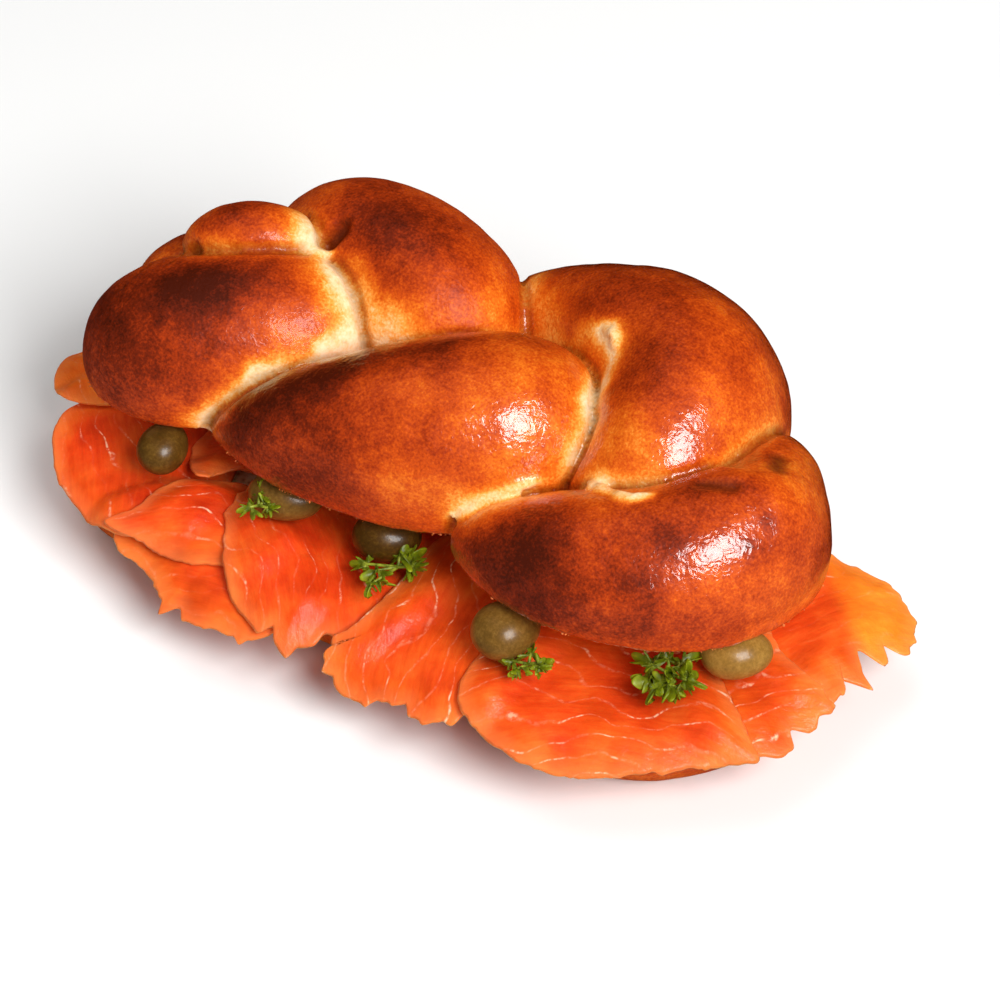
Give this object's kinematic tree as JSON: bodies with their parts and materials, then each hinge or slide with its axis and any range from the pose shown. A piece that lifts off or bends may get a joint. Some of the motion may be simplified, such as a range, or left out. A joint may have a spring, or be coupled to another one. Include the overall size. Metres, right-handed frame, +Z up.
{
  "type": "smoked salmon pretzel roll",
  "caption": "Plaited lye-dough roll, cut in two and filled with slices of smoked salmon that hang out along one side, with green olives and curly parsley.",
  "frame": {"origin": "on the table, under the middle of the whole roll with its filling", "axes": "+X along the roll, +Z up; the filling hangs out on the -Y side, which the picture shows"},
  "size_m": [0.2016, 0.1106, 0.0727],
  "materials": {
    "crust": "egg-glazed baked crust, dark brown to golden, glossy, pale where the dough tore",
    "salmon": "wet translucent orange-red fish with thin pale fat lines",
    "olive": "oily olive-green skin, lightly mottled",
    "parsley": "fresh curled green leaf"
  },
  "bodies": {
    "root": {"bread_lid": "crust", "bread_base": "crust", "salmon_back_left": "salmon", "salmon_back_middle": "salmon", "salmon_back_right": "salmon", "salmon_right_end": "salmon", "salmon_right_side": "salmon", "salmon_left_under": "salmon", "salmon_left_large": "salmon", "salmon_left_over": "salmon", "salmon_left_tuck": "salmon", "salmon_left_fold": "salmon", "salmon_middle_left": "salmon", "salmon_middle_right": "salmon", "salmon_right_large": "salmon", "olive_1": "olive", "olive_2": "olive", "olive_3": "olive", "olive_4": "olive", "olive_5": "olive", "parsley_1": "parsley", "parsley_2": "parsley", "parsley_3": "parsley", "parsley_4": "parsley"}
  },
  "joints": []
}
